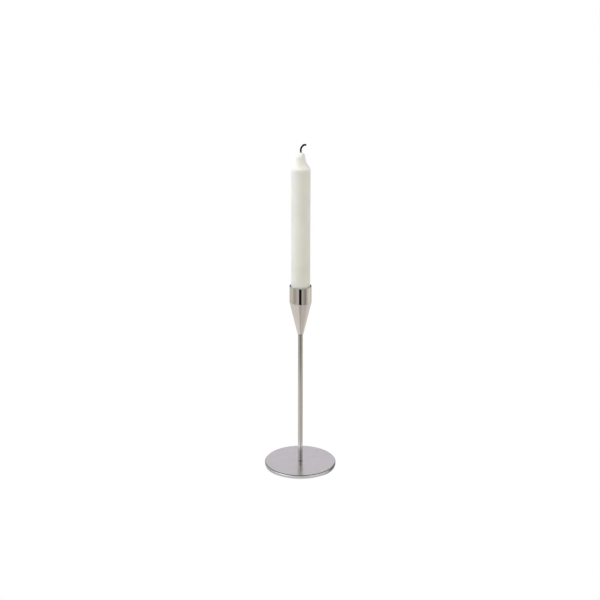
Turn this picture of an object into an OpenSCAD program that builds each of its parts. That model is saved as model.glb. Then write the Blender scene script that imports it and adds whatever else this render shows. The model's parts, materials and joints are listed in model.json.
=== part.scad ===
// Candlestick for one crown candle: a heavy steel disc, a thin rod, a turned cone and a polished cup.
// Millimetres, +Z up, origin at the middle of the resting face. The wick leans towards +X; -Y is the front.

/* [Base] */
// Diameter of the base disc
base_d = 82.4; // [70:0.2:100]
// Thickness of the steel disc
plate_t = 4.3; // [3.6:0.1:8]
// Width of the chamfers on the disc's rim
rim_chamfer = 0.65; // [0.2:0.05:0.8]
// Thickness of the felt pad under the disc
pad_t = 1.0; // [0.8:0.1:2]
// Depth of the recess that the felt pad is glued into
pad_recess = 0.5; // [0.3:0.1:0.6]
// Distance from the disc's rim to the felt pad
pad_inset = 3; // [2:0.5:8]

/* [Stem] */
// Diameter of the rod
stem_d = 5.6; // [5.4:0.1:8]
// Length of the rod between the disc and the cone
stem_l = 157.6; // [100:0.1:320]
// Chamfer on both ends of the rod
stem_chamfer = 0.5; // [0.2:0.1:0.7]

/* [Holder] */
// Height of the cone
cone_h = 38.8; // [25:0.1:60]
// Diameter of the cone's lower end
cone_foot_d = 6.8; // [6:0.1:9]
// Chamfer on the cone's lower end
cone_chamfer = 0.5; // [0.2:0.1:0.8]
// Outer diameter of the cup and of the cone's upper end
cup_d = 25; // [24.4:0.1:28]
// Height of the cup above the cone
cup_h = 18.8; // [14:0.1:30]
// Bore of the cup
cup_bore_d = 22.5; // [22.2:0.1:23]
// Height of the cone's spigot inside the cup, which the candle stands on
spigot_h = 3; // [2:0.5:5]

/* [Candle] */
// Diameter of the candle
candle_d = 21.6; // [20.6:0.1:21.8]
// Length of the candle from its foot to its tip
candle_l = 168.2; // [80:0.1:240]
// Height of the flared tip above the straight body
flare_h = 17; // [15:0.5:20]
// Diameter where the flare runs into the tip
tip_d = 10; // [9.6:0.1:12]
// Length of the tapered and fluted foot
foot_l = 15; // [8:1:20]
// Diameter at the lower end of the foot
foot_d = 20.6; // [20:0.1:20.6]
// Number of flutes round the foot
foot_flutes = 16; // [8:1:20]

/* [Wick] */
// Diameter of the braided wick
wick_d = 2.2; // [1.2:0.1:2.2]
// Length of the exposed wick that stands upright
wick_rise = 3.7; // [1:0.1:6]
// Radius of the wick's long bend
wick_bend_r = 4.5; // [3:0.1:9]
// Lean of the wick between its two bends
wick_lean = 40; // [20:5:60]
// Length of the leaning part
wick_run = 2.5; // [1:0.1:5]
// Radius of the tight bend before the level end
wick_hook_r = 1.3; // [1.2:0.1:4]
// Length of the level end
wick_end_l = 2.5; // [1:0.1:6]

/* [Hidden] */
$fn = 96;
eps = 0.01;                 // overshoot that keeps cut faces clean
gap = 0.02;                 // radial clearance of close fits

// Threads: M3, drawn as rings at the real pitch
thread_d = 3;
thread_pitch = 0.5;
thread_depth = 0.3;
bore_extra = 1.2;           // tapped bore beyond the thread's end
drill_tip_h = 0.9;

// Countersunk screw that holds the rod to the disc
screw_head_d = 6;
screw_head_rim = 0.25;
screw_l = 11;
screw_key = 2;              // across the flats of the socket
screw_key_depth = 1.1;

// Threaded stud between the rod and the cone
stud_l = 15;
stud_key = 1.5;
stud_key_depth = 1.8;

// Heights of the joints between the parts
plate_z = pad_t - pad_recess;
plate_top_z = plate_z + plate_t;
recess_z = plate_z + pad_recess;
stem_top_z = plate_top_z + stem_l;
cone_top_z = stem_top_z + cone_h;
rim_z = cone_top_z + cup_h;
seat_z = cone_top_z + spigot_h;
candle_top_z = seat_z + candle_l;
shoulder_z = candle_top_z - flare_h;

seam_chamfer = 0.15;        // fine groove where the cup meets the cone
spigot_chamfer = 0.3;
dimple_r = 1.2;             // turning-centre dimple in the spigot's top
lip_r = 0.4;                // rounding of the cup's lip
tip_h = 4;                  // height of the candle's rounded tip above the flare
tip_taper = 0.6;            // how much the tip narrows on each side before its rounding
tip_round = 1.6;
foot_chamfer = 0.6;
flute_r = 1.3;
flute_depth = 0.6;
wick_lap = 0.05;            // lap between the straight and bent pieces of the wick

steel_satin = [0.74, 0.72, 0.70];
steel_polished = [0.82, 0.80, 0.77];
steel_fastener = [0.55, 0.55, 0.56];
felt_grey = [0.16, 0.16, 0.17];
wax_ivory = [0.93, 0.92, 0.86];
wick_char = [0.09, 0.08, 0.08];

// Points of an arc about [cx, cz] from angle a to angle b
function arc(cx, cz, r, a, b, n = 8) =
    [for (i = [0:n]) let (t = a + (b - a) * i / n) [cx + r * cos(t), cz + r * sin(t)]];

// Threaded shank from z = 0 to z = l, with a chamfer at each end
module thread(l) {
    core_r = thread_d / 2 - thread_depth;
    crest_r = thread_d / 2 - gap;
    turns = floor((l - 2 * thread_depth) / thread_pitch);
    lead = (l - turns * thread_pitch) / 2;
    rotate_extrude()
        polygon(concat(
            [[0, 0], [core_r, 0]],
            [for (i = [0:turns - 1], p = [[core_r, 0.05], [crest_r, 0.4], [crest_r, 0.6], [core_r, 0.95]])
                [p[0], lead + (i + p[1]) * thread_pitch]],
            [[core_r, l], [0, l]]));
}

// Tapped blind bore from z = 0 upwards, with its drill tip
module tapped_bore(depth) {
    r = thread_d / 2;
    translate([0, 0, -eps]) cylinder(h = depth + eps, r = r);
    translate([0, 0, depth - eps]) cylinder(h = drill_tip_h, r1 = r, r2 = 0.05);
}

// Hexagon socket from z = 0 upwards
module key_socket(across_flats, depth) {
    translate([0, 0, -eps]) cylinder(h = depth + eps, d = across_flats / cos(30), $fn = 6);
}

module base_plate() {
    r = base_d / 2;
    c = rim_chamfer;
    sink_r = screw_head_d / 2 + 2 * gap;
    color(steel_satin)
    difference() {
        rotate_extrude()
            polygon([[0, plate_z], [r - c, plate_z], [r, plate_z + c],
                     [r, plate_top_z - c], [r - c, plate_top_z], [0, plate_top_z]]);
        translate([0, 0, plate_z - eps]) cylinder(h = pad_recess + eps, r = r - pad_inset);
        translate([0, 0, plate_z]) cylinder(h = plate_t + 1, r = thread_d / 2 + 0.1);
        translate([0, 0, recess_z - eps]) cylinder(h = screw_head_rim + eps, r = sink_r);
        translate([0, 0, recess_z + screw_head_rim - eps]) cylinder(h = sink_r, r1 = sink_r, r2 = eps);
    }
}

module base_pad() {
    color(felt_grey) cylinder(h = pad_t - gap, r = base_d / 2 - pad_inset - 0.15);
}

module base_screw() {
    head_r = screw_head_d / 2;
    sink_h = head_r - thread_d / 2 + thread_depth;
    color(steel_fastener)
    difference() {
        union() {
            translate([0, 0, recess_z + gap]) cylinder(h = screw_head_rim, r = head_r);
            translate([0, 0, recess_z + gap + screw_head_rim])
                cylinder(h = sink_h, r1 = head_r, r2 = head_r - sink_h);
            translate([0, 0, recess_z + gap + screw_head_rim + sink_h - 0.2])
                thread(screw_l - screw_head_rim - sink_h);
        }
        translate([0, 0, recess_z + gap]) key_socket(screw_key, screw_key_depth);
    }
}

module stem() {
    r = stem_d / 2;
    c = stem_chamfer;
    screw_top_z = recess_z + screw_l;
    color(steel_satin)
    difference() {
        rotate_extrude()
            polygon([[0, plate_top_z], [r - c, plate_top_z], [r, plate_top_z + c],
                     [r, stem_top_z - c], [r - c, stem_top_z], [0, stem_top_z]]);
        translate([0, 0, plate_top_z]) tapped_bore(screw_top_z + bore_extra - plate_top_z);
        translate([0, 0, stem_top_z]) mirror([0, 0, 1]) tapped_bore(stud_l / 2 + bore_extra);
    }
}

module stem_stud() {
    color(steel_fastener)
    translate([0, 0, stem_top_z - stud_l / 2])
    difference() {
        thread(stud_l);
        key_socket(stud_key, stud_key_depth);
    }
}

module cone() {
    r0 = cone_foot_d / 2;
    r1 = cup_d / 2;
    s = cup_bore_d / 2 - gap;
    c = cone_chamfer;
    color(steel_satin)
    difference() {
        rotate_extrude()
            polygon([[0, stem_top_z], [r0 - c, stem_top_z], [r0, stem_top_z + c],
                     [r1, cone_top_z - seam_chamfer], [r1 - seam_chamfer, cone_top_z], [s, cone_top_z],
                     [s, seat_z - spigot_chamfer], [s - spigot_chamfer, seat_z], [0, seat_z]]);
        translate([0, 0, stem_top_z]) tapped_bore(stud_l / 2 + bore_extra);
        translate([0, 0, seat_z - dimple_r]) cylinder(h = dimple_r + eps, r1 = eps, r2 = dimple_r + eps);
    }
}

module cup_sleeve() {
    ro = cup_d / 2;
    ri = cup_bore_d / 2;
    color(steel_polished)
    rotate_extrude()
        polygon(concat(
            [[ri, cone_top_z], [ro - seam_chamfer, cone_top_z], [ro, cone_top_z + seam_chamfer]],
            arc(ro - lip_r, rim_z - lip_r, lip_r, 0, 90),
            arc(ri + lip_r, rim_z - lip_r, lip_r, 90, 180)));
}

module candle_wax() {
    r = candle_d / 2;
    tip_r = tip_d / 2;
    foot_r = foot_d / 2;
    flare_z = candle_top_z - tip_h;             // height of the centre of the flare's arc
    drop = flare_z - shoulder_z;
    wide = r - tip_r;
    flare_r = (drop * drop + wide * wide) / (2 * wide);
    lowest = 180 + asin(drop / flare_r);
    color(wax_ivory)
    difference() {
        rotate_extrude()
            polygon(concat(
                [[0, seat_z], [foot_r - foot_chamfer, seat_z],
                 [foot_r, seat_z + foot_chamfer], [r, seat_z + foot_l]],
                arc(tip_r + flare_r, flare_z, flare_r, lowest, 180, 14),
                arc(tip_r - tip_taper - tip_round, candle_top_z - tip_round, tip_round, 0, 90),
                [[0, candle_top_z]]));
        for (i = [0:foot_flutes - 1])
            rotate([0, 0, i * 360 / foot_flutes])
                translate([foot_r - flute_depth + flute_r, 0, seat_z - 1])
                    cylinder(h = foot_l - 1, r = flute_r, $fn = 24);
        translate([0, 0, seat_z - 1]) cylinder(h = candle_l + 2, r = wick_d / 2 + gap);
    }
}

// Arc of wick that leaves the origin along +Z and turns towards +X, from one angle to another, a little
// thicker than the straight pieces, which lap into it
module wick_bend(bend_r, from_angle, to_angle, extra) {
    translate([bend_r, 0, 0]) rotate([90, 0, 0])
        rotate([0, 0, 180 - to_angle])
            rotate_extrude(angle = to_angle - from_angle) translate([bend_r, 0]) circle(d = wick_d + extra);
}

module wick() {
    rise_z = candle_top_z + wick_rise;
    lean_x = wick_bend_r * (1 - cos(wick_lean));
    lean_z = rise_z + wick_bend_r * sin(wick_lean);
    hook_x = lean_x + wick_run * sin(wick_lean) - wick_hook_r * (1 - cos(wick_lean));
    hook_z = lean_z + wick_run * cos(wick_lean) - wick_hook_r * sin(wick_lean);
    color(wick_char)
    union() {
        translate([0, 0, seat_z]) cylinder(h = rise_z - seat_z + wick_lap, d = wick_d);
        translate([0, 0, rise_z]) wick_bend(wick_bend_r, 0, wick_lean, wick_lap);
        translate([lean_x, 0, lean_z]) rotate([0, wick_lean, 0])
            translate([0, 0, -wick_lap]) cylinder(h = wick_run + 2 * wick_lap, d = wick_d);
        translate([hook_x, 0, hook_z]) wick_bend(wick_hook_r, wick_lean, 90, wick_lap);
        translate([hook_x + wick_hook_r - wick_lap, 0, hook_z + wick_hook_r])
            rotate([0, 90, 0]) cylinder(h = wick_end_l + wick_lap, d = wick_d);
    }
}

base_plate();
base_pad();
base_screw();
stem();
stem_stud();
cone();
cup_sleeve();
candle_wax();
wick();
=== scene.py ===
"""Looks of the steel candlestick: turned metal, wax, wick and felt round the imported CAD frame."""

import json
import math

import bpy
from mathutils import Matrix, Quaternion, Vector, noise

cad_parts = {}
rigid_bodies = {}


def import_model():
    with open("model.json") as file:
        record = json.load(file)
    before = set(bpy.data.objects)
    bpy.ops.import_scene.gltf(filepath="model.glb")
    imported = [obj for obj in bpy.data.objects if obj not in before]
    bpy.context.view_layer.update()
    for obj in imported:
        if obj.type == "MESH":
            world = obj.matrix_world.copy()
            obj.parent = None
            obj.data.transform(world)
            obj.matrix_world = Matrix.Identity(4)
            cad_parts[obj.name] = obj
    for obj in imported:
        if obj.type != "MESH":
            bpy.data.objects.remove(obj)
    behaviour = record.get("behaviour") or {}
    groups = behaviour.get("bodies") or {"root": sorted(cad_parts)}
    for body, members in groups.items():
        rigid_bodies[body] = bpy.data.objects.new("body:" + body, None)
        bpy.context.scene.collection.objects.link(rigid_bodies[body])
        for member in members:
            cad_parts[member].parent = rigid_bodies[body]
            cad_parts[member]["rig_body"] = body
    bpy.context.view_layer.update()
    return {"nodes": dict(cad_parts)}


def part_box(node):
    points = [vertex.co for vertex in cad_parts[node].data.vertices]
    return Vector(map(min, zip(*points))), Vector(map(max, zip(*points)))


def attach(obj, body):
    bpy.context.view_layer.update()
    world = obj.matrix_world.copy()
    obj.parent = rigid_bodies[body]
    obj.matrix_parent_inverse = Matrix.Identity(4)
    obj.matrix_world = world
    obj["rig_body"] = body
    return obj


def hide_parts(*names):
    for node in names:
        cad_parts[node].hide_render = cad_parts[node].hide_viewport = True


MM = 0.001

# Camera: the distance and height that the object is seen from, and its lens
CAMERA_DISTANCE = 1.634
CAMERA_PITCH = math.radians(18.92)
CAMERA_ROLL = math.radians(0.1)
CAMERA_AIM = Vector((-0.6 * MM, 0, 203.1 * MM))
CAMERA_LENS = 87
CAMERA_SENSOR = 36

# Lathed metal, repeating the CAD's chamfers
EDGE = 0.06 * MM
RIM_CHAMFER = 0.65 * MM
END_CHAMFER = 0.5 * MM
SEAM_CHAMFER = 0.15 * MM
LIP_ROUND = 0.39 * MM
BORE_RADIUS = 1.5 * MM
BORE_TIP = 0.9 * MM
SCREW_BORE_DEPTH = 8.4 * MM
STUD_BORE_DEPTH = 8.7 * MM
PLATE_HOLE_RADIUS = 1.6 * MM
PAD_CLEARANCE = 0.15 * MM
SCREW_CLEARANCE = 0.02 * MM
SINK_RADIUS = 3.04 * MM
SINK_RIM = 0.25 * MM
CONE_FOOT_RADIUS = 3.4 * MM
SPIGOT_RADIUS = 11.23 * MM
SPIGOT_CHAMFER = 0.3 * MM
DIMPLE = 1.2 * MM
CUP_BORE_RADIUS = 11.25 * MM

# How far a face's normal points up or down: over FLAT the face is flat, under SLANT it is a side
FLAT = 0.95
SLANT = 0.3
RIM_SLANT = 0.25

# Felt pad
FELT_EDGE = 0.3 * MM
FELT_INSET = 0.07 * MM
FELT_FUZZ = 0.06 * MM

# Candle
FLARE_HEIGHT = 17 * MM
FLARE_TOP_RADIUS = 5 * MM
SHOULDER_ROUND = 3.6 * MM
TIP_HEIGHT = 4 * MM
TIP_TAPER = 0.6 * MM
TIP_ROUND = 1.6 * MM
FOOT_LENGTH = 15 * MM
FOOT_RADIUS = 10.3 * MM
FOOT_CHAMFER = 0.6 * MM
FOOT_FLUTES = 16
FLUTE_DEPTH = 0.6 * MM
FLUTE_LENGTH = 13 * MM
FLUTE_FADE = 2 * MM
WAX_WAVE = 0.05 * MM
WAX_SAG = 0.12 * MM
WICK_HOLE_RADIUS = 1.12 * MM
DISH_RADIUS = 2.6 * MM
DISH_DEPTH = 0.7 * MM

# Wick
WICK_RISE = 3.7 * MM
WICK_BEND = 4.5 * MM
WICK_LEAN = math.radians(40)
WICK_RUN = 2.5 * MM
WICK_HOOK = 1.3 * MM
WICK_END = 2.5 * MM
WICK_END_CLEARANCE = 0.15 * MM
WICK_STEP = 0.12 * MM
STRAND_RADIUS = 0.68 * MM
BRAID_PITCH = 3.2 * MM
BRAID_WIDTH = 0.4 * MM
BRAID_DEPTH = 0.27 * MM
BRAID_BELOW_TIP = 6 * MM
BARE_WICK = 1.1 * MM
WICK_BURN = 0.05 * MM
WICK_END_TAPER = 0.5 * MM
# The straight core runs down through the wax, and the heart fills the middle of the braid
CORE_RADIUS = 1.05 * MM
HEART_RADIUS = 0.95 * MM

# Studio colours and light levels, where 1 is white. A list of levels holds pairs of an angle round the
# object, in degrees from the front and positive towards +X, and the level there. The lists are fitted to
# the photo: FAR_LEVELS and NEAR_LEVELS began as its brightness across the cup and the cone, turned into
# angles and levels, and every list was retuned until the metal's reflections agreed with the photo.
WHITE = (1.0, 1.0, 1.0)
AIR = (1, 0.99, 0.95)
AIR_LEVEL = 0.36
FLOOR_LIGHT = (0.84, 0.83, 0.78)
SKY = (0.35, 0.35, 0.35)
BACK_GAP = (0.08, 0.08, 0.08)
BACK_CARD = (0.82, 0.775, 0.85)
HIGH_CARD = (0.8, 0.8, 0.8)
UPPER_CARD = (0.6, 0.6, 0.6)
FRONT_TINT = (1.0, 0.97, 0.94)
FRONT_LEVELS = [
    (-180, 1.4), (-60, 1.5), (-11, 1.5), (-8, 0.03), (14, 0.03), (17, 0.7), (180, 0.7),
]
BAND_LEVELS = [
    (-180, 0.8), (-130, 1.0), (-80, 1.0), (-50, 0.6), (-30, 0.26), (30, 0.26), (60, 0.6), (110, 0.7),
    (180, 0.8),
]
UNDER_LEVELS = [
    (-180, 0.3), (-60, 0.3), (-35, 0.8), (36, 0.8), (52, 0.1), (180, 0.3),
]
INNER_LEVELS = [
    (-180, 0.5), (-100, 0.6), (-20, 0.74), (30, 0.7), (80, 0.5), (98, 0.02), (125, 0.02), (180, 0.5),
]
EDGE_LEVELS = [
    (-180, 0.5), (-100, 0.6), (-20, 0.74), (30, 0.7), (56, 0.6), (63, 0.04), (84, 0.04), (125, 0.02),
    (180, 0.5),
]
CONTACT_LEVELS = [
    (-180, 0.72), (-20, 0.76), (30, 0.68), (180, 0.72),
]
FOOT_LEVELS = [
    (-180, 1.1), (-60, 1.3), (-36, 1.8), (-14, 0.9), (5, 0.6), (22, 1.1), (180, 1.1),
]
NEAR_TINT = (0.88, 0.81, 0.75)
NEAR_LEVELS = [
    (-180, 0.9), (-106, 1.1), (-44, 1.0), (-29, 1.02), (-3, 0.70), (25, 0.84), (64, 0.80), (180, 0.9),
]
FAR_TINT = (1.0, 0.93, 0.84)
FAR_LEVELS = [
    (-180, 0.75), (-96, 0.78), (-68, 0.5), (-56, 0.5), (-34, 0.68), (-17, 0.68), (-15, 0.012), (10, 0.012),
    (12, 0.6), (18, 0.6), (51, 0.30), (75, 0.72), (104, 1.03), (123, 0.78), (180, 0.75),
]

# Studio shapes, in metres: the dome, the sky, the upper cards, and the rings of floor that the metal
# mirrors, each with its inner and outer radius
DOME_RADIUS = 8
SKY_RADIUS = 4
UPPER_RADIUS = 1.6
UPPER_HEAD = 2.77
FLOOR_RADIUS = 4
FLOOR_LIGHT_RADIUS = 3
FLOOR_LIGHT_DEPTH = 0.2 * MM
FLOOR_LIFT = 0.1 * MM
UNDER_RADIUS = 0.0408
FLOOR_RINGS = [
    ("inner_floor", 0.0408, 0.0432, WHITE, INNER_LEVELS),
    ("edge_floor", 0.0432, 0.0453, WHITE, EDGE_LEVELS),
    ("contact_floor", 0.0453, 0.047, WHITE, CONTACT_LEVELS),
    ("foot_floor", 0.047, 0.06, WHITE, FOOT_LEVELS),
    ("near_floor", 0.06, 0.30, NEAR_TINT, NEAR_LEVELS),
    ("far_floor", 0.30, 2.9, FAR_TINT, FAR_LEVELS),
]


# --- Frame ---------------------------------------------------------------------------------------------

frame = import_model()


def radius_of(node):
    """Outer radius of a turned CAD node about the Z axis."""
    low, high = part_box(node)
    return (high.x - low.x) / 2


# --- Mesh helpers --------------------------------------------------------------------------------------

def new_object(name, verts, faces, normals=None):
    """A smooth-shaded mesh object, with exact vertex normals where they are given."""
    mesh = bpy.data.meshes.new(name)
    mesh.from_pydata(verts, [], faces)
    mesh.polygons.foreach_set("use_smooth", [True] * len(mesh.polygons))
    mesh.validate()
    if normals:
        mesh.normals_split_custom_set_from_vertices(normals)
    made = bpy.data.objects.new(name, mesh)
    bpy.context.scene.collection.objects.link(made)
    return made


def arc(centre_r, centre_z, radius, start, end, steps):
    """Points of an arc in the outline's plane, angles in degrees."""
    angles = [math.radians(start + (end - start) * i / steps) for i in range(steps + 1)]
    return [(centre_r + radius * math.cos(a), centre_z + radius * math.sin(a)) for a in angles]


def soften(outline, closed, steps=4):
    """Rounds an outline's corners. A point is (r, z), or (r, z, radius) for its own rounding."""
    count = len(outline)
    points = []
    for i, (r, z, *own) in enumerate(outline):
        if not closed and i in (0, count - 1):
            points.append((r, z))
            continue
        here = Vector((r, z))
        before = here - Vector(outline[i - 1][:2])
        after = Vector(outline[(i + 1) % count][:2]) - here
        turn = before.angle_signed(after) * -1
        if abs(turn) < math.radians(4):
            points.append((r, z))
            continue
        radius = own[0] if own else EDGE
        reach = min(radius * math.tan(abs(turn) / 2), before.length * 0.45, after.length * 0.45)
        radius = reach / math.tan(abs(turn) / 2)
        start = here - before.normalized() * reach
        side = Vector((-before.y, before.x)).normalized() * math.copysign(radius, turn)
        centre = start + side
        for step in range(steps + 1):
            angle = turn * step / steps
            arm = -side
            points.append((centre.x + arm.x * math.cos(angle) - arm.y * math.sin(angle),
                           centre.y + arm.x * math.sin(angle) + arm.y * math.cos(angle)))
    return points


def outline_normals(points, closed):
    """Outward normals in the outline's plane, each weighted by the lengths of the two runs that meet."""
    count = len(points)
    normals = []
    for i in range(count):
        total = Vector((0, 0))
        for a, b in ((i - 1, i), (i, i + 1)):
            if not closed and (a < 0 or b >= count):
                continue
            run = Vector(points[b % count]) - Vector(points[a % count])
            total += Vector((run.y, -run.x))
        normals.append(total.normalized())
    return normals


def lathe(name, points, closed, segments, exact=True, shape=None):
    """Turns an outline about Z. Points on the axis become poles; shape(x, y, z) may move a point."""
    flat = outline_normals(points, closed)
    verts, normals, rings = [], [], []
    for (r, z), normal in zip(points, flat):
        if r < 1e-9:
            rings.append([len(verts)] * segments)
            verts.append((0, 0, z))
            normals.append((0, 0, math.copysign(1, normal.y)))
            continue
        rings.append([len(verts) + j for j in range(segments)])
        for j in range(segments):
            c, s = math.cos(2 * math.pi * j / segments), math.sin(2 * math.pi * j / segments)
            verts.append((r * c, r * s, z))
            normals.append((normal.x * c, normal.x * s, normal.y))
    faces = []
    for i in range(len(rings) if closed else len(rings) - 1):
        low, high = rings[i], rings[(i + 1) % len(rings)]
        for j in range(segments):
            k = (j + 1) % segments
            loop = dict.fromkeys((low[j], low[k], high[k], high[j]))
            if len(loop) > 2:
                faces.append(tuple(loop))
    if shape:
        verts = [shape(*v) for v in verts]
    return new_object(name, verts, faces, normals if exact else None)


# --- Node helpers --------------------------------------------------------------------------------------

def new_material(name):
    made = bpy.data.materials.new(name)
    made.use_nodes = True
    return made, made.node_tree.nodes["Principled BSDF"]


def add(tree, kind, inputs=None, **settings):
    """Adds a shader node. Inputs are values, or the sockets that drive them."""
    made = tree.nodes.new("ShaderNode" + kind)
    for key, value in settings.items():
        setattr(made, key, value)
    for key, value in (inputs or {}).items():
        if isinstance(value, bpy.types.NodeSocket):
            tree.links.new(value, made.inputs[key])
        else:
            made.inputs[key].default_value = value
    return made


def connect(shader, sockets):
    """Gives a shader its values, or the sockets that drive them."""
    for key, value in sockets.items():
        if isinstance(value, bpy.types.NodeSocket):
            shader.id_data.links.new(value, shader.inputs[key])
        else:
            shader.inputs[key].default_value = value


def position(tree):
    return add(tree, "TexCoord").outputs["Object"]


def spread(tree, socket, low, high, from_low=0.3, from_high=0.7):
    """Maps a noise value to the range from low to high."""
    inputs = {"Value": socket, "From Min": from_low, "From Max": from_high, "To Min": low, "To Max": high}
    return add(tree, "MapRange", inputs).outputs["Result"]


def blend_colours(tree, factor, low, high):
    """Mixes two colours. Each is a tuple or the socket that drives it."""
    made = add(tree, "Mix", {"Factor": factor}, data_type="RGBA")
    sockets = [s for s in made.inputs if s.type == "RGBA"]
    for socket, value in zip(sockets, (low, high)):
        if isinstance(value, bpy.types.NodeSocket):
            tree.links.new(value, socket)
        else:
            socket.default_value = (*value, 1)
    return [s for s in made.outputs if s.type == "RGBA"][0]


def noise_value(tree, vector, scale, detail=2.0, roughness=0.5):
    inputs = {"Vector": vector, "Scale": scale, "Detail": detail, "Roughness": roughness}
    return add(tree, "TexNoise", inputs).outputs["Fac"]


# --- Materials -----------------------------------------------------------------------------------------

def turned_steel(name, along, tint, roughness, groove, anisotropy):
    """Steel with the fine marks of turning. along is "radius" on a flat face and "height" on a side, and
    groove is the marks' depth in metres."""
    made, shader = new_material(name)
    tree = made.node_tree
    place = position(tree)
    parts = add(tree, "SeparateXYZ", {"Vector": place})
    if along == "height":
        across = parts.outputs["Z"]
    else:
        flat = add(tree, "CombineXYZ", {"X": parts.outputs["X"], "Y": parts.outputs["Y"]})
        across = add(tree, "VectorMath", {0: flat.outputs["Vector"]}, operation="LENGTH").outputs["Value"]
    line = add(tree, "TexNoise", {"W": across, "Scale": 4200.0, "Detail": 3.0}, noise_dimensions="1D")
    cloud = noise_value(tree, place, 90.0, 4.0, 0.6)
    marks = add(tree, "Math", {0: line.outputs["Fac"], 1: cloud}, operation="MULTIPLY").outputs["Value"]
    bump = add(tree, "Bump", {"Strength": 0.2, "Distance": groove, "Height": line.outputs["Fac"]})
    dull = [c * 0.94 for c in tint]
    connect(shader, {
        "Base Color": blend_colours(tree, spread(tree, cloud, 0.0, 1.0), dull, tint),
        "Metallic": 1.0,
        "Roughness": spread(tree, marks, roughness * 0.9, roughness * 1.15, 0.1, 0.45),
        "Anisotropic": anisotropy,
        "Anisotropic Rotation": 0.25,
        "Normal": bump.outputs["Normal"],
        "Tangent": add(tree, "Tangent", direction_type="RADIAL", axis="Z").outputs["Tangent"],
    })
    return made


def polished_steel(name, tint, roughness):
    """Mirror-bright steel with faint wiping marks."""
    made, shader = new_material(name)
    tree = made.node_tree
    place = position(tree)
    stretched = add(tree, "Mapping", {"Vector": place, "Scale": (1.0, 1.0, 14.0)}).outputs["Vector"]
    marks = noise_value(tree, stretched, 260.0, 5.0, 0.65)
    smears = noise_value(tree, place, 70.0, 2.0, 0.5)
    both = add(tree, "Math", {0: marks, 1: smears}, operation="MULTIPLY").outputs["Value"]
    bump = add(tree, "Bump", {"Strength": 0.05, "Distance": 0.000004, "Height": marks})
    connect(shader, {
        "Base Color": blend_colours(tree, spread(tree, smears, 0.0, 1.0),
                                    [c * 0.97 for c in tint], tint),
        "Metallic": 1.0,
        "Roughness": spread(tree, both, roughness * 0.7, roughness * 1.6, 0.15, 0.35),
        "Normal": bump.outputs["Normal"],
    })
    return made


def painted_shade_bore_steel(name):
    """The unpolished inside of the cup, its near-black colour painted shade for the dark gap round the
    candle.
    """
    made, shader = new_material(name)
    tree = made.node_tree
    place = position(tree)
    bore_mottle = noise_value(tree, place, 300.0, 4.0, 0.6)
    bump = add(tree, "Bump", {"Strength": 0.3, "Distance": 0.00003, "Height": bore_mottle})
    connect(shader, {
        # Painted shade: a near-black colour for the shaded gap between the cup and the candle.
        "Base Color": blend_colours(tree, spread(tree, bore_mottle, 0.0, 1.0), (0.045, 0.042, 0.04),
                                    (0.10, 0.095, 0.09)),
        "Metallic": 0.6,
        "Roughness": spread(tree, bore_mottle, 0.5, 0.7),
        "Normal": bump.outputs["Normal"],
    })
    return made


def fastener_steel(name):
    """Plain cold-headed steel, a little stained."""
    made, shader = new_material(name)
    tree = made.node_tree
    place = position(tree)
    stain = noise_value(tree, place, 700.0, 4.0, 0.6)
    bump = add(tree, "Bump", {"Strength": 0.2, "Distance": 0.00002, "Height": stain})
    connect(shader, {
        "Base Color": blend_colours(tree, spread(tree, stain, 0.0, 1.0), (0.36, 0.35, 0.34),
                                    (0.52, 0.52, 0.53)),
        "Metallic": 1.0,
        "Roughness": spread(tree, stain, 0.28, 0.45),
        "Normal": bump.outputs["Normal"],
    })
    return made


def candle_wax(name, tip_z):
    """Ivory stearin: translucent, with a soft gloss and the faint unevenness of a drawn candle.
    Its colour is painted paler towards the tip, a painted glow for the light that shines through the wax
    where it narrows."""
    made, shader = new_material(name)
    tree = made.node_tree
    place = position(tree)
    cloud = noise_value(tree, place, 55.0, 3.0, 0.55)
    skin = noise_value(tree, place, 420.0, 3.0, 0.5)
    drawn = add(tree, "Mapping", {"Vector": place, "Scale": (1.0, 1.0, 0.06)}).outputs["Vector"]
    streaks = noise_value(tree, drawn, 300.0, 3.0, 0.5)
    relief = add(tree, "Math", {0: skin, 1: streaks}, operation="ADD").outputs["Value"]
    bump = add(tree, "Bump", {"Strength": 0.12, "Distance": 0.00008, "Height": relief})
    ivory = blend_colours(tree, spread(tree, cloud, 0.0, 1.0), (0.81, 0.795, 0.73), (0.85, 0.84, 0.78))
    height = add(tree, "SeparateXYZ", {"Vector": place}).outputs["Z"]
    # Painted glow: the colour turns paler over the top of the wax, below the tip.
    tip_glow = spread(tree, height, 0.0, 1.0, tip_z - 9 * MM, tip_z - 2 * MM)
    connect(shader, {
        "Base Color": blend_colours(tree, tip_glow, ivory, (0.89, 0.88, 0.81)),
        "Roughness": spread(tree, skin, 0.42, 0.55),
        "Specular IOR Level": 0.4,
        "Subsurface Weight": 0.85,
        "Subsurface Radius": (1.0, 0.8, 0.5),
        "Subsurface Scale": 0.0035,
        "Normal": bump.outputs["Normal"],
    })
    return made


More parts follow.
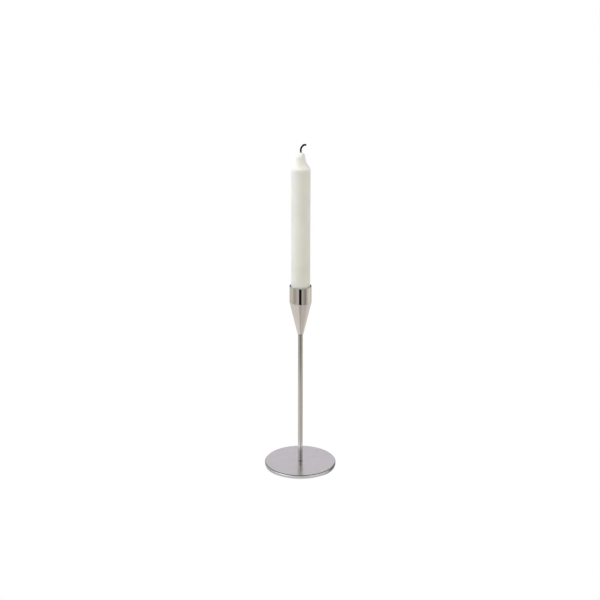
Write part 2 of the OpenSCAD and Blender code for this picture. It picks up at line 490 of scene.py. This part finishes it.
def charred_cotton(name, tip_z):
    """Cotton braid, waxed and pale at its root and charred above."""
    made, shader = new_material(name)
    tree = made.node_tree
    place = position(tree)
    height = add(tree, "SeparateXYZ", {"Vector": place}).outputs["Z"]
    fibre = noise_value(tree, place, 2600.0, 4.0, 0.65)
    ragged = add(tree, "Math", {0: fibre, 1: 0.0006, 2: height}, operation="MULTIPLY_ADD").outputs["Value"]
    burnt = spread(tree, ragged, 0.0, 1.0, tip_z + 0.9 * MM, tip_z + BARE_WICK + 0.6 * MM)
    black = blend_colours(tree, fibre, (0.002, 0.0015, 0.0015), (0.010, 0.008, 0.007))
    root = blend_colours(tree, fibre, (0.60, 0.52, 0.42), (0.78, 0.72, 0.60))
    bump = add(tree, "Bump", {"Strength": 0.6, "Distance": 0.0001, "Height": fibre})
    connect(shader, {
        "Base Color": blend_colours(tree, burnt, root, black),
        "Roughness": 0.9,
        "Specular IOR Level": 0.05,
        "Normal": bump.outputs["Normal"],
    })
    return made


def felt(name):
    """Dark grey pressed felt."""
    made, shader = new_material(name)
    tree = made.node_tree
    place = position(tree)
    warped = noise_value(tree, place, 500.0, 3.0, 0.6)
    fibres = add(tree, "TexVoronoi", {"Vector": place, "Scale": 1500.0, "Randomness": 1.0},
                 feature="DISTANCE_TO_EDGE").outputs["Distance"]
    mat = add(tree, "Math", {0: warped, 1: fibres}, operation="ADD").outputs["Value"]
    bump = add(tree, "Bump", {"Strength": 0.7, "Distance": 0.0002, "Height": mat})
    connect(shader, {
        "Base Color": blend_colours(tree, spread(tree, mat, 0.0, 1.0, 0.3, 1.0), (0.012, 0.012, 0.013),
                                    (0.045, 0.045, 0.048)),
        "Roughness": 0.95,
        "Specular IOR Level": 0.2,
        "Sheen Weight": 0.3,
        "Normal": bump.outputs["Normal"],
    })
    return made


# --- Metal pieces --------------------------------------------------------------------------------------

def finish_piece(piece, node, material):
    """Puts a piece in the place of its CAD node, on that node's body."""
    piece.data.materials.clear()
    piece.data.materials.append(material)
    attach(piece, frame["nodes"][node]["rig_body"])
    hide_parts(node)


def refinish(piece, finish, is_chosen):
    """Gives another finish to the faces that is_chosen picks by their centre and normal."""
    piece.data.materials.append(finish)
    last = len(piece.data.materials) - 1
    for face in piece.data.polygons:
        if is_chosen(face.center, face.normal):
            face.material_index = last


def make_plate(steel, edge_steel, rim_painted_reflection_steel):
    low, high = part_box("base_plate")
    r = radius_of("base_plate")
    recess_r = radius_of("base_pad") + PAD_CLEARANCE
    recess_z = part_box("base_screw")[0].z - SCREW_CLEARANCE
    sink_z = recess_z + SINK_RIM
    outline = [
        (recess_r, low.z), (r - RIM_CHAMFER, low.z), (r, low.z + RIM_CHAMFER),
        (r, high.z - RIM_CHAMFER), (r - RIM_CHAMFER, high.z), (PLATE_HOLE_RADIUS, high.z),
        (PLATE_HOLE_RADIUS, sink_z + SINK_RADIUS - PLATE_HOLE_RADIUS), (SINK_RADIUS, sink_z),
        (SINK_RADIUS, recess_z), (recess_r, recess_z),
    ]
    piece = lathe("steel_disc", soften(outline, closed=True), closed=True, segments=320)
    finish_piece(piece, "base_plate", steel)
    edge_r = r - RIM_CHAMFER
    refinish(piece, edge_steel, lambda at, facing: at.xy.length > edge_r and abs(facing.z) < FLAT)
    # Painted dark reflection: the top rim chamfer is given a near-black colour for the dark surroundings
    # that the polished edge mirrors.
    refinish(piece, rim_painted_reflection_steel, lambda at, facing: at.xy.length > edge_r and RIM_SLANT < facing.z < FLAT)


def make_stem(steel, joint_painted_shade_steel):
    low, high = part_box("stem")
    r, c = radius_of("stem"), END_CHAMFER
    foot_bore, head_bore = low.z + SCREW_BORE_DEPTH, high.z - STUD_BORE_DEPTH
    outline = [
        (0, foot_bore + BORE_TIP), (BORE_RADIUS, foot_bore), (BORE_RADIUS, low.z), (r - c, low.z),
        (r, low.z + c), (r, high.z - c), (r - c, high.z), (BORE_RADIUS, high.z),
        (BORE_RADIUS, head_bore), (0, head_bore - BORE_TIP),
    ]
    piece = lathe("rod", soften(outline, closed=False), closed=False, segments=96)
    finish_piece(piece, "stem", steel)
    # Painted shade: the rod's end chamfers take a darker colour for the shade where the rod meets the disc
    # and the cone.
    refinish(piece, joint_painted_shade_steel, lambda at, facing: SLANT < abs(facing.z) < FLAT)


def make_cone(steel, joint_painted_shade_steel):
    low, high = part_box("cone")
    seam_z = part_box("cup_sleeve")[0].z
    r, c = radius_of("cone"), END_CHAMFER
    bore_end = low.z + STUD_BORE_DEPTH
    outline = [
        (0, bore_end + BORE_TIP), (BORE_RADIUS, bore_end), (BORE_RADIUS, low.z),
        (CONE_FOOT_RADIUS - c, low.z), (CONE_FOOT_RADIUS, low.z + c),
        (r, seam_z - SEAM_CHAMFER), (r - SEAM_CHAMFER, seam_z), (SPIGOT_RADIUS, seam_z),
        (SPIGOT_RADIUS, high.z - SPIGOT_CHAMFER), (SPIGOT_RADIUS - SPIGOT_CHAMFER, high.z),
        (DIMPLE, high.z), (0, high.z - DIMPLE),
    ]
    piece = lathe("holder_cone", soften(outline, closed=False), closed=False, segments=192)
    finish_piece(piece, "cone", steel)
    # Painted shade: the cone's foot chamfer takes the same darker colour, for the shade in the groove over
    # the rod.
    refinish(piece, joint_painted_shade_steel, lambda at, facing: at.z < low.z + c and SLANT < -facing.z < FLAT)


def make_cup(steel, dull):
    low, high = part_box("cup_sleeve")
    r = radius_of("cup_sleeve")
    outline = [
        (CUP_BORE_RADIUS, low.z), (r - SEAM_CHAMFER, low.z), (r, low.z + SEAM_CHAMFER),
        (r, high.z, LIP_ROUND), (CUP_BORE_RADIUS, high.z, LIP_ROUND),
    ]
    piece = lathe("cup", soften(outline, closed=True, steps=8), closed=True, segments=256)
    finish_piece(piece, "cup_sleeve", steel)
    # Painted shade: the cup's bore takes the near-black finish.
    refinish(piece, dull, lambda at, facing: at.xy.length < CUP_BORE_RADIUS + 0.1 * MM)


# --- Felt pad ------------------------------------------------------------------------------------------

def make_pad(cloth):
    low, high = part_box("base_pad")
    r = radius_of("base_pad")

    def fuzz(x, y, z):
        reach = math.hypot(x, y)
        if reach < r * 0.97:
            return x, y, z
        rough = noise.noise(Vector((x, y, z)) * 900) * FELT_FUZZ
        scale = 1 - (FELT_INSET + rough) / reach
        return x * scale, y * scale, z

    outline = [
        (0, low.z), (r * 0.5, low.z), (r * 0.97, low.z), (r, low.z, FELT_EDGE), (r, high.z, FELT_EDGE),
        (r * 0.97, high.z), (r * 0.5, high.z), (0, high.z),
    ]
    piece = lathe("felt", soften(outline, closed=False), closed=False, segments=360, exact=False, shape=fuzz)
    finish_piece(piece, "base_pad", cloth)


# --- Candle --------------------------------------------------------------------------------------------

def make_candle(wax):
    low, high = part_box("candle_wax")
    r = radius_of("candle_wax")
    shoulder_z = high.z - FLARE_HEIGHT
    flare_z = high.z - TIP_HEIGHT
    drop, wide = flare_z - shoulder_z, r - FLARE_TOP_RADIUS
    flare_r = (drop * drop + wide * wide) / (2 * wide)
    lowest = 180 + math.degrees(math.asin(drop / flare_r))
    round_r = FLARE_TOP_RADIUS - TIP_TAPER - TIP_ROUND
    body = [(r, low.z + FOOT_LENGTH + (shoulder_z - low.z - FOOT_LENGTH) * i / 40) for i in range(1, 40)]
    foot = [(FOOT_RADIUS + (r - FOOT_RADIUS) * i / 15,
             low.z + FOOT_CHAMFER + (FOOT_LENGTH - FOOT_CHAMFER) * i / 15) for i in range(16)]
    flare = arc(FLARE_TOP_RADIUS + flare_r, flare_z, flare_r, lowest, 180, 24)
    tip = arc(round_r, high.z - TIP_ROUND, TIP_ROUND, 0, 88, 8)
    dish = [(DISH_RADIUS * (1 - i / 5) + WICK_HOLE_RADIUS * i / 5,
             high.z - DISH_DEPTH * math.sin(math.pi / 2 * i / 5) ** 2) for i in range(6)]
    bore = [(WICK_HOLE_RADIUS, high.z - 4 * MM), (WICK_HOLE_RADIUS, low.z)]
    outline = ([(FOOT_RADIUS - FOOT_CHAMFER, low.z, 0.3 * MM)] + foot + body
               + [(*flare[0], SHOULDER_ROUND)] + flare[6:] + tip + dish + bore)

    def uneven(x, y, z):
        reach = math.hypot(x, y)
        if reach < WICK_HOLE_RADIUS * 1.1:
            return x, y, z
        above = z - low.z
        cut = 0.0
        if above < FLUTE_LENGTH and reach > FOOT_RADIUS - 0.7 * MM:
            wave = 0.5 + 0.5 * math.cos(FOOT_FLUTES * math.atan2(y, x))
            cut = FLUTE_DEPTH * wave ** 2 * min(1.0, (FLUTE_LENGTH - above) / FLUTE_FADE)
        slow = noise.noise(Vector((x * 30, y * 30, z * 12))) * WAX_WAVE
        scale = 1 - (cut + WAX_WAVE + slow) / reach
        sag = 0.0
        if z > flare_z and reach < FLARE_TOP_RADIUS:
            sag = (0.5 + noise.noise(Vector((x * 200, y * 200, 3.0)))) * WAX_SAG
        return x * scale, y * scale, z - sag

    points = soften(outline, closed=True, steps=6)
    piece = lathe("candle", points, closed=True, segments=192, exact=False, shape=uneven)
    finish_piece(piece, "candle_wax", wax)


# --- Wick ----------------------------------------------------------------------------------------------

def wick_path(start_z, tip_z):
    """The wick's centre line from start_z upwards: a list of (point, tangent) in the plane y = 0."""
    rise_z = tip_z + WICK_RISE
    steps = [("run", rise_z - start_z, 0), ("bend", WICK_BEND, WICK_LEAN), ("run", WICK_RUN, 0),
             ("bend", WICK_HOOK, math.pi / 2 - WICK_LEAN), ("run", WICK_END - WICK_END_CLEARANCE, 0)]
    point, lean, path = Vector((0, 0, start_z)), 0.0, []
    for kind, size, turn in steps:
        length = size if kind == "run" else size * turn
        count = max(4, round(length / WICK_STEP))
        for _ in range(count):
            tangent = Vector((math.sin(lean), 0, math.cos(lean)))
            path.append((point.copy(), tangent))
            lean += turn / count
            middle = Vector((math.sin(lean - turn / count / 2), 0, math.cos(lean - turn / count / 2)))
            point = point + middle * (length / count)
    return path


def tube(verts, faces, points, radii, sides):
    """Adds a closed tube along points to verts and faces."""
    rings = []
    across = Vector((0, 1, 0))
    for i, (point, radius) in enumerate(zip(points, radii)):
        ahead = points[min(i + 1, len(points) - 1)] - points[max(i - 1, 0)]
        tangent = ahead.normalized()
        u = (across - tangent * across.dot(tangent)).normalized()
        w = tangent.cross(u)
        rings.append(range(len(verts), len(verts) + sides))
        for j in range(sides):
            a = 2 * math.pi * j / sides
            verts.append(point + (u * math.cos(a) + w * math.sin(a)) * radius)
    for low, high in zip(rings, rings[1:]):
        for j in range(sides):
            k = (j + 1) % sides
            faces.append((low[j], low[k], high[k], high[j]))
    faces.append(tuple(reversed(rings[0])))
    faces.append(tuple(rings[-1]))


def make_wick(cotton):
    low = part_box("wick")[0]
    tip_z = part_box("candle_wax")[1].z
    start_z = tip_z - BRAID_BELOW_TIP
    path = wick_path(start_z, tip_z)
    verts, faces = [], []
    run = 0.0
    lengths = [0.0]
    for (a, _), (b, _) in zip(path, path[1:]):
        run += (b - a).length
        lengths.append(run)
    for strand in range(3):
        points, radii = [], []
        for (point, tangent), length in zip(path, lengths):
            phase = 2 * math.pi * (length / BRAID_PITCH + strand / 3)
            side = Vector((tangent.z, 0, -tangent.x))
            weave = Vector((0, BRAID_DEPTH * math.sin(2 * phase), 0))
            offset = side * (BRAID_WIDTH * math.sin(phase)) + weave
            points.append(point + offset)
            burn = noise.noise(point * 2500 + Vector((strand * 7.0, 0, 0))) * WICK_BURN
            end = min(1.0, 0.45 + (run - length) / WICK_END_TAPER)
            radii.append((STRAND_RADIUS + burn) * end)
        tube(verts, faces, points, radii, 10)
    core = [Vector((0, 0, z)) for z in (low.z, (low.z + start_z) / 2, start_z + 0.5 * MM)]
    tube(verts, faces, core, [CORE_RADIUS] * len(core), 16)
    heart = [point for point, _ in path[:-3]]
    tube(verts, faces, heart, [HEART_RADIUS] * len(heart), 12)
    piece = new_object("wick_braid", verts, faces)
    finish_piece(piece, "wick", cotton)


# --- Stage ---------------------------------------------------------------------------------------------

def new_glow(name, colour):
    """A light-emitting finish for the stage, and its light node."""
    made = bpy.data.materials.new(name)
    made.use_nodes = True
    tree = made.node_tree
    tree.nodes.remove(tree.nodes["Principled BSDF"])
    light = add(tree, "Emission", {"Color": (*colour, 1), "Strength": 1.0})
    tree.links.new(light.outputs["Emission"], tree.nodes["Material Output"].inputs["Surface"])
    return made, light


def glow(name, colour):
    """A finish that emits the same light all over."""
    return new_glow(name, colour)[0]


def glow_round(name, tint, levels):
    """A finish whose light changes round the object, by pairs of an angle in degrees and a level."""
    made, light = new_glow(name, tint)
    tree = made.node_tree
    parts = add(tree, "SeparateXYZ", {"Vector": position(tree)})
    ahead = add(tree, "Math", {0: parts.outputs["Y"], 1: -1.0}, operation="MULTIPLY").outputs["Value"]
    angle = add(tree, "Math", {0: parts.outputs["X"], 1: ahead}, operation="ARCTAN2").outputs["Value"]
    place = add(tree, "Math", {0: angle, 1: 0.5 / math.pi, 2: 0.5}, operation="MULTIPLY_ADD")
    ramp = add(tree, "ValToRGB", {"Fac": place.outputs["Value"]})
    stops = ramp.color_ramp.elements
    while len(stops) < len(levels):
        stops.new(0.5)
    for stop, (degrees, level) in zip(stops, levels):
        stop.position = degrees / 360 + 0.5
        stop.color = (level, level, level, 1)
    tree.links.new(ramp.outputs["Color"], light.inputs["Strength"])
    return made


def stage_mesh(name, verts, faces, material, seen_by):
    """A stage object that only the named kinds of ray see."""
    made = new_object(name, verts, faces)
    made.data.materials.append(material)
    for kind in ("camera", "diffuse", "glossy", "transmission", "volume_scatter", "shadow"):
        setattr(made, "visible_" + kind, kind in seen_by)
    return made


def ring_mesh(inner, outer, z, count=180):
    """A flat ring round the axis at height z."""
    verts = []
    for i in range(count):
        c, s = math.cos(2 * math.pi * i / count), math.sin(2 * math.pi * i / count)
        verts += [(inner * c, inner * s, z), (outer * c, outer * s, z)]
    faces = []
    for i in range(count):
        j = (i + 1) % count
        faces.append((2 * i, 2 * i + 1, 2 * j + 1, 2 * j))
    return verts, faces


def wall_mesh(radius, start, end, low, high):
    """An upright curved wall from the height low to high. Its angles are in degrees from the front,
    positive towards +X."""
    count = max(2, round((end - start) / 4))
    verts = []
    for i in range(count + 1):
        a = math.radians(start + (end - start) * i / count)
        x, y = radius * math.sin(a), -radius * math.cos(a)
        verts += [(x, y, low), (x, y, high)]
    return verts, [(2 * i, 2 * i + 1, 2 * i + 3, 2 * i + 2) for i in range(count)]


def sphere_mesh(radius, lowest=-90, rows=24, columns=48):
    """A sphere about the origin, cut off below lowest degrees."""
    verts, faces = [], []
    for i in range(rows + 1):
        tilt = math.radians(lowest + (90 - lowest) * i / rows)
        for j in range(columns):
            a = 2 * math.pi * j / columns
            verts.append((radius * math.cos(tilt) * math.sin(a), -radius * math.cos(tilt) * math.cos(a),
                          radius * math.sin(tilt)))
    for i in range(rows):
        for j in range(columns):
            k = (j + 1) % columns
            faces.append((i * columns + j, i * columns + k, (i + 1) * columns + k, (i + 1) * columns + j))
    return verts, faces


def make_floor():
    """A round white floor and a white dome behind it, and the light that they throw on the object. The
    floor emits its white, so nothing casts a shadow on it."""
    white = glow("white", WHITE)
    stage_mesh("floor", *ring_mesh(0.001, FLOOR_RADIUS, 0), white, ["camera"])
    stage_mesh("white_dome", *sphere_mesh(DOME_RADIUS), white, ["camera"])
    lit = ring_mesh(0.0, FLOOR_LIGHT_RADIUS, -FLOOR_LIGHT_DEPTH)
    stage_mesh("floor_light", *lit, glow("floor_light", FLOOR_LIGHT), ["diffuse"])


def make_reflections():
    """What the metal mirrors: a grey sky, upright cards round the object, and rings of floor. Only
    reflections show them, apart from the shade under the disc, which the camera sees too."""
    stage_mesh("mirrored_sky", *sphere_mesh(SKY_RADIUS, lowest=-20), glow("sky", SKY), ["glossy"])
    high = glow("high_card", HIGH_CARD)
    upper = glow("upper_card", UPPER_CARD)
    front = glow_round("front_card", FRONT_TINT, FRONT_LEVELS)
    band = glow_round("band_card", WHITE, BAND_LEVELS)
    cards = [
        ("mirrored_back_gap", wall_mesh(1.5, 150, 210, 0.2, 0.75), glow("gap", BACK_GAP)),
        ("mirrored_back_card", wall_mesh(0.5, 148, 212, 0.06, 0.28), glow("back_card", BACK_CARD)),
        ("mirrored_front_card", wall_mesh(2.9, -90, 90, 0, 2.4), front),
        ("mirrored_band_card", wall_mesh(1.2, -150, 150, 0.1, 0.6), band),
        ("mirrored_high_card", wall_mesh(UPPER_RADIUS, 150, 210, 0.77, UPPER_HEAD), high),
        ("mirrored_top_card", ring_mesh(0.0, 0.6, 2.6), high),
        ("mirrored_upper_card_front", wall_mesh(UPPER_RADIUS, -90, 90, 1.35, UPPER_HEAD), upper),
        ("mirrored_upper_card_left", wall_mesh(UPPER_RADIUS, -150, -90, 0.8, UPPER_HEAD), upper),
        ("mirrored_upper_card_right", wall_mesh(UPPER_RADIUS, 90, 150, 0.8, UPPER_HEAD), upper),
    ]
    for name, (verts, faces), finish in cards:
        stage_mesh(name, verts, faces, finish, ["glossy"])

    under = glow_round("under_floor", WHITE, UNDER_LEVELS)
    shade = ring_mesh(0.0, UNDER_RADIUS, FLOOR_LIFT)
    stage_mesh("shaded_under_floor", *shade, under, ["camera", "glossy"])
    for name, inner, outer, tint, levels in FLOOR_RINGS:
        finish = glow_round(name, tint, levels)
        stage_mesh("mirrored_" + name, *ring_mesh(inner, outer, FLOOR_LIFT), finish, ["glossy"])


def area_light(name, place, size, energy, colour=(1, 1, 1), aim=Vector((0, 0, 0.2))):
    """A softbox that lights the object and isn't mirrored by it."""
    data = bpy.data.lights.new(name, "AREA")
    data.shape = "RECTANGLE"
    data.size, data.size_y = size
    data.energy = energy
    data.color = colour
    made = bpy.data.objects.new(name, data)
    made.location = place
    made.rotation_mode = "QUATERNION"
    made.rotation_quaternion = (aim - Vector(place)).to_track_quat("-Z", "Y")
    made.visible_glossy = False
    bpy.context.scene.collection.objects.link(made)


def make_lights():
    world = bpy.data.worlds.new("studio_air")
    world.use_nodes = True
    background = world.node_tree.nodes["Background"]
    background.inputs["Color"].default_value = (*AIR, 1)
    background.inputs["Strength"].default_value = AIR_LEVEL
    bpy.context.scene.world = world
    cool = (0.90, 0.97, 1.12)
    area_light("overhead_softbox", (-0.22, -0.03, 1.65), (1.5, 1.5), 21.5, (0.92, 0.98, 1.06),
               aim=Vector((0, 0, 0)))
    area_light("left_softbox", (-1.55, -0.4, 0.7), (0.8, 1.1), 8.5, cool)
    area_light("right_fill", (1.5, -0.6, 0.6), (0.8, 0.9), 3.2)


def make_camera():
    data = bpy.data.cameras.new("camera")
    data.lens = CAMERA_LENS
    data.sensor_width = CAMERA_SENSOR
    made = bpy.data.objects.new("camera", data)
    back = Vector((0, -math.cos(CAMERA_PITCH), math.sin(CAMERA_PITCH)))
    made.location = CAMERA_AIM + back * CAMERA_DISTANCE
    made.rotation_mode = "QUATERNION"
    made.rotation_quaternion = Quaternion(back, CAMERA_ROLL) @ (-back).to_track_quat("-Z", "Y")
    bpy.context.scene.collection.objects.link(made)
    bpy.context.scene.camera = made


# --- Scene ---------------------------------------------------------------------------------------------

make_camera()

STEEL = (0.64, 0.63, 0.62)
disc_steel = turned_steel("satin_steel_disc", "radius", STEEL, 0.21, 0.000006, 0.0)
rod_steel = turned_steel("satin_steel_rod", "height", (0.56, 0.555, 0.56), 0.15, 0.000004, 0.8)
cone_steel = turned_steel("satin_steel_cone", "height", (0.72, 0.71, 0.70), 0.3, 0.000008, 0.8)
edge_steel = polished_steel("polished_steel_edge", (0.64, 0.64, 0.645), 0.12)
# Painted dark reflection on the disc's top rim chamfer, carried by a near-black steel colour.
rim_painted_reflection_steel = polished_steel("painted_reflection_steel_rim", (0.15, 0.15, 0.155), 0.2)
# Painted shade in the joints between disc, rod and cone, carried by a darker steel colour.
joint_painted_shade_steel = polished_steel("painted_shade_steel_joint", (0.36, 0.35, 0.34), 0.25)
mirror_steel = polished_steel("polished_steel_cup", STEEL, 0.05)
screw_steel = fastener_steel("screw_steel")

make_plate(disc_steel, edge_steel, rim_painted_reflection_steel)
make_stem(rod_steel, joint_painted_shade_steel)
make_cone(cone_steel, joint_painted_shade_steel)
# The cup's bore gets a near-black colour: painted shade.
make_cup(mirror_steel, painted_shade_bore_steel("painted_shade_steel_bore"))
for node in ("base_screw", "stem_stud"):
    for slot in frame["nodes"][node].material_slots:
        slot.material = screw_steel

make_pad(felt("felt_grey"))
candle_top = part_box("candle_wax")[1].z
make_candle(candle_wax("ivory_wax", candle_top))
make_wick(charred_cotton("charred_cotton", candle_top))

make_floor()
make_reflections()
make_lights()
bpy.context.scene.view_settings.view_transform = "Standard"
